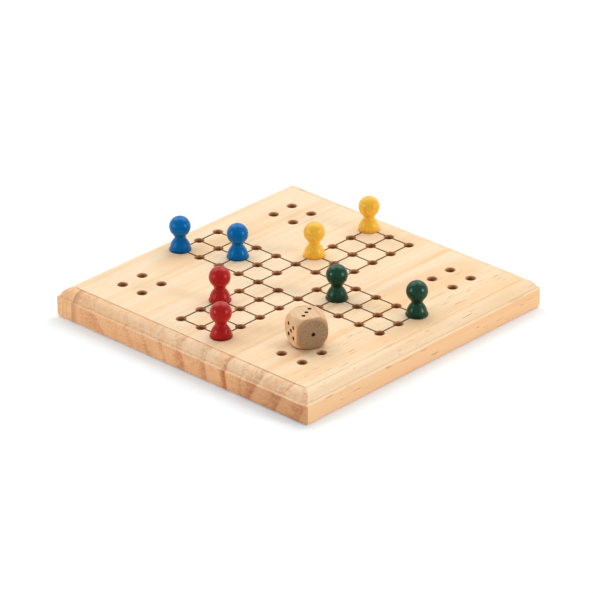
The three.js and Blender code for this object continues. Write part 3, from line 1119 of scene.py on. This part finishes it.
# Die faces: the pips, and the face's own right, up and outward directions. Opposite faces add to seven.
DIE_FACES = [
    (1, (0, 1, 0), (0, 0, 1), (1, 0, 0)),
    (6, (0, -1, 0), (0, 0, 1), (-1, 0, 0)),
    (5, (1, 0, 0), (0, 0, 1), (0, -1, 0)),
    (2, (-1, 0, 0), (0, 0, 1), (0, 1, 0)),
    (3, (0, -1, 0), (1, 0, 0), (0, 0, 1)),
    (4, (0, 1, 0), (1, 0, 0), (0, 0, -1)),
]


def pip_places(count):
    """Where a face's pips lie, in pip spacings from its middle."""
    places = []
    if count % 2:
        places += [(0, 0)]
    if count > 1:
        places += [(-1, -1), (1, 1)]
    if count > 3:
        places += [(-1, 1), (1, -1)]
    if count > 5:
        places += [(0, -1), (0, 1)]
    return places


def die_blank():
    """A cube rounded by a ball: in each direction, the surface is as far from the middle as the nearer of
    the cube's face and the ball. The power mean of the two distances eases the arris where they meet."""
    ball = math.hypot(DIE_HALF, DIE_FLAT_RADIUS)
    spread = np.tan(np.linspace(-math.pi / 4, math.pi / 4, DIE_STEPS + 1))
    u, v = np.meshgrid(spread, spread, indexing="ij")
    patches = []
    for _, right, up, out in DIE_FACES:
        ray = u[..., None] * np.array(right) + v[..., None] * np.array(up) + np.array(out)
        to_cube = DIE_HALF * np.linalg.norm(ray, axis=-1, keepdims=True)
        direction = ray / np.linalg.norm(ray, axis=-1, keepdims=True)
        distance = (to_cube**-DIE_ARRIS_POWER + ball**-DIE_ARRIS_POWER) ** (-1 / DIE_ARRIS_POWER)
        patches.append((direction * distance).reshape(-1, 3))
    side = DIE_STEPS + 1
    index = np.arange(side * side).reshape(side, side)
    quads = np.stack([index[:-1, :-1], index[1:, :-1], index[1:, 1:], index[:-1, 1:]], axis=-1)
    quads = quads.reshape(-1, 4)
    faces = np.concatenate([quads + number * side * side for number in range(len(DIE_FACES))])
    piece = new_piece("die_rounded", np.concatenate(patches), faces.tolist(), [DIE_WOOD])
    work = bmesh.new()
    work.from_mesh(piece.data)
    bmesh.ops.remove_doubles(work, verts=work.verts[:], dist=SAME_PLACE)
    work.to_mesh(piece.data)
    work.free()
    return piece


def pip_tools():
    """Every pip as one tool: a short upright drill with a rounded end, turned onto each face."""
    floor = [0, DIE_HALF - PIP_DEPTH]
    corner = filleted(floor, [PIP_RADIUS, DIE_HALF - PIP_DEPTH], [PIP_RADIUS, DIE_HALF], PIP_ROUND)
    open_end = [[PIP_RADIUS, DIE_HALF + OVERRUN], [0, DIE_HALF + OVERRUN]]
    profile = np.concatenate([[floor], corner, open_end])
    tools = []
    for count, right, up, out in DIE_FACES:
        turn = Matrix((right, up, out)).transposed().to_4x4()
        for across, along in pip_places(count):
            place = (across * PIP_SPACING, along * PIP_SPACING)
            tool = turned("pip", profile, PIP_SIDES, place, [BURNT_PIP])
            tool.data.transform(turn)
            tools.append(tool)
    return joined(tools)


def make_die():
    """The rounded die with its pips, turned on the board as the frame's die is."""
    piece = die_blank()
    cut(piece, pip_tools())
    middle = (DIE_PLACE[0], DIE_PLACE[1], BOARD_THICKNESS + DIE_HALF)
    piece.data.transform(Matrix.Translation(middle) @ Matrix.Rotation(DIE_TURN, 4, "Z"))
    finished(piece, "die", ["die"])


# Studio

# Places and sizes are in metres here, apart from the floor's gap, which is in millimetres
CAMERA_PLACE = Vector((1.31193, -1.38591, 0.97554))
CAMERA_AIM = Vector((0.00943, -0.01153, 0.0155))
CAMERA_ROLL = math.radians(-0.348)
LENS = 268.8
SENSOR = 36
FLOOR_HALF = 12
FLOOR_GAP = 0.02
WORLD_LIGHT = 0.23

# The floor's shadow takes up light from the warm wood. A slightly cool lift keeps it neutral.
FLOOR_COLOUR = (1, 0.95, 0.9, 1)
FLOOR_LIFT = 0.13
FLOOR_LIFT_TINT = (0.7, 1.45, 1.9, 1)


def make_camera():
    """The camera that was fitted to the board's holes."""
    data = bpy.data.cameras.new("camera")
    data.lens = LENS
    data.sensor_width = SENSOR
    data.clip_end = 100
    camera = bpy.data.objects.new("camera", data)
    camera.location = CAMERA_PLACE
    camera.rotation_mode = "QUATERNION"
    level = (CAMERA_AIM - CAMERA_PLACE).to_track_quat("-Z", "Y")
    camera.rotation_quaternion = level @ Matrix.Rotation(CAMERA_ROLL, 3, "Z").to_quaternion()
    bpy.context.scene.collection.objects.link(camera)
    bpy.context.scene.camera = camera


def make_lamp(name, azimuth, elevation, distance, width, height, power):
    """A soft box that faces the board. Azimuth 0 is along +X, and 90 along +Y."""
    data = bpy.data.lights.new(name, "AREA")
    data.shape = "RECTANGLE"
    data.size = width
    data.size_y = height
    data.energy = power
    lamp = bpy.data.objects.new(name, data)
    turn = math.radians(azimuth)
    rise = math.radians(elevation)
    away = Vector((math.cos(turn) * math.cos(rise), math.sin(turn) * math.cos(rise), math.sin(rise)))
    lamp.location = away * distance
    lamp.rotation_mode = "QUATERNION"
    lamp.rotation_quaternion = (-away).to_track_quat("-Z", "Y")
    bpy.context.scene.collection.objects.link(lamp)


def make_world():
    """An even white light, and plain white where the camera, gloss or glass look past the floor."""
    world = bpy.data.worlds.new("studio")
    world.use_nodes = True
    bpy.context.scene.world = world
    tree = world.node_tree
    tree.nodes.clear()
    path = tree.nodes.new("ShaderNodeLightPath").outputs
    seen = calc(tree, "MAXIMUM", path["Is Camera Ray"], path["Is Transmission Ray"])
    seen = calc(tree, "MAXIMUM", seen, path["Is Glossy Ray"])
    strength = calc(tree, "MAXIMUM", seen, WORLD_LIGHT)
    background = node(tree, "ShaderNodeBackground", {"Color": (1, 1, 1, 1), "Strength": strength})
    output = tree.nodes.new("ShaderNodeOutputWorld")
    tree.links.new(background.outputs[0], output.inputs[0])


def make_floor():
    """A wide pale floor that shows the object's shadow on white. It lies a hair below the board, so that
    the two never share one plane."""
    corners = np.array([[-1, -1], [1, -1], [1, 1], [-1, 1]]) * FLOOR_HALF
    corners = np.column_stack([corners, np.full(4, -FLOOR_GAP * MM)])
    floor = new_piece("floor", corners, [[0, 1, 2, 3]])
    material = bpy.data.materials.new("floor_paper")
    material.use_nodes = True
    tree = material.node_tree
    shader = tree.nodes["Principled BSDF"]
    shader.inputs["Base Color"].default_value = FLOOR_COLOUR
    shader.inputs["Roughness"].default_value = 0.9
    shader.inputs["Specular IOR Level"].default_value = 0
    path = tree.nodes.new("ShaderNodeLightPath").outputs
    lift = product(tree, calc(tree, "MAXIMUM", path["Is Camera Ray"], path["Is Glossy Ray"]), FLOOR_LIFT)
    shader.inputs["Emission Color"].default_value = FLOOR_LIFT_TINT
    tree.links.new(lift, shader.inputs["Emission Strength"])
    floor.data.materials.append(material)


bpy.context.scene.view_settings.view_transform = "Standard"
make_camera()
make_world()
make_floor()
make_lamp("soft_box_back_right", azimuth=98, elevation=52, distance=5, width=3.5, height=3.5, power=114)
make_lamp("soft_box_back_left", azimuth=174, elevation=52, distance=5, width=3.5, height=3.5, power=98)
make_lamp("soft_box_left", azimuth=244, elevation=16, distance=3, width=0.8, height=1, power=25)
make_lamp("soft_box_right", azimuth=22, elevation=16, distance=3, width=0.8, height=1, power=34.5)
make_board()
make_pawns()
make_die()
